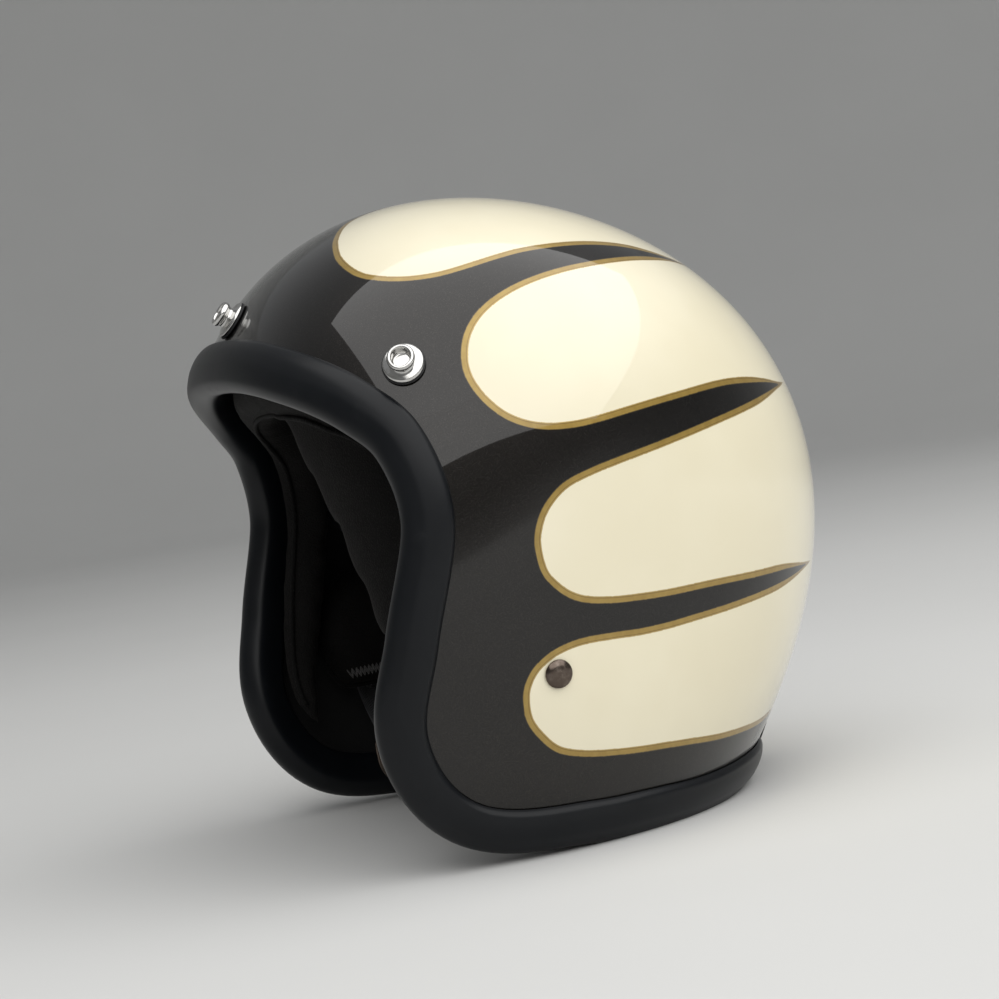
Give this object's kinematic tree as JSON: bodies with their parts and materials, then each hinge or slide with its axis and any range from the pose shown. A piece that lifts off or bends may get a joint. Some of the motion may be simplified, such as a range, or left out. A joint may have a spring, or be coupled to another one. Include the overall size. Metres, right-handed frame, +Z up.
{
  "type": "open face motorcycle helmet",
  "caption": "Open face helmet with painted shell, rubber edge trim, foam liner, soft lining, brow snaps, D-ring chin strap and a goggle strap.",
  "frame": {"origin": "centre of the helmet's box, on the surface that it stands on", "axes": "+Z up, -Y the way the wearer looks, +X the wearer's left"},
  "size_m": [0.2368, 0.2444, 0.2504],
  "materials": {
    "painted_shell": "cream gloss with charcoal metallic scallops edged in gold, under a clear coat; the shell itself is moulded glass fibre",
    "trim_rubber": "satin black",
    "black_foam": "bead foam, painted black, behind the lining",
    "black_cloth": "brushed knit over soft foam",
    "chrome": "polished",
    "gasket_rubber": "matt",
    "zinc_steel": "dull zinc",
    "dark_nickel": "polished dark nickel",
    "black_webbing": "woven webbing",
    "black_leather": "satin"
  },
  "bodies": {
    "helmet": {"shell": "painted_shell", "edge_trim": "trim_rubber", "impact_liner": "black_foam", "crown_lining": "black_cloth", "brow_pad": "black_cloth", "neck_roll": "black_cloth", "cheek_pad_left": "black_cloth", "cheek_pad_right": "black_cloth", "brow_snap_left_stud": "chrome", "brow_snap_left_gasket": "gasket_rubber", "brow_snap_left_backing": "zinc_steel", "brow_snap_centre_stud": "chrome", "brow_snap_centre_gasket": "gasket_rubber", "brow_snap_centre_backing": "zinc_steel", "brow_snap_right_stud": "chrome", "brow_snap_right_gasket": "gasket_rubber", "brow_snap_right_backing": "zinc_steel", "strap_rivet_left": "dark_nickel", "strap_rivet_right": "dark_nickel", "goggle_strap_anchor": "black_leather", "goggle_snap_stud": "chrome", "goggle_snap_backing": "zinc_steel"},
    "left_strap": {"strap_hanger_left": "zinc_steel", "chin_strap_left": "black_webbing"},
    "right_strap": {"strap_hanger_right": "zinc_steel", "chin_strap_right": "black_webbing"},
    "outer_ring": {"d_ring_outer": "dark_nickel"},
    "inner_ring": {"d_ring_inner": "dark_nickel"},
    "goggle_flap": {"goggle_strap_flap": "black_leather", "goggle_snap_cap": "chrome"}
  },
  "joints": [
    {"name": "left_strap_swing", "type": "hinge", "parent": "helmet", "child": "left_strap", "pos_m": [0.11567, -0.03646, 0.06746], "axis": [0.9945, 0.029, -0.101], "range_deg": [-15, 15]},
    {"name": "right_strap_swing", "type": "hinge", "parent": "helmet", "child": "right_strap", "pos_m": [-0.11567, -0.03646, 0.06746], "axis": [-0.9945, 0.029, -0.101], "range_deg": [-15, 15]},
    {"name": "outer_ring_turn", "type": "hinge", "parent": "right_strap", "child": "outer_ring", "pos_m": [-0.07628, -0.03612, 0.02926], "axis": [-0.025, -0.9991, -0.035], "range_deg": [-15, 0]},
    {"name": "inner_ring_turn", "type": "hinge", "parent": "right_strap", "child": "inner_ring", "pos_m": [-0.0729, -0.03621, 0.02961], "axis": [-0.025, -0.9991, -0.035], "range_deg": [0, 60]},
    {"name": "goggle_flap_open", "type": "hinge", "parent": "helmet", "child": "goggle_flap", "pos_m": [0, 0.08277, 0.00427], "axis": [-1, 0, 0], "range_deg": [0, 55]}
  ]
}
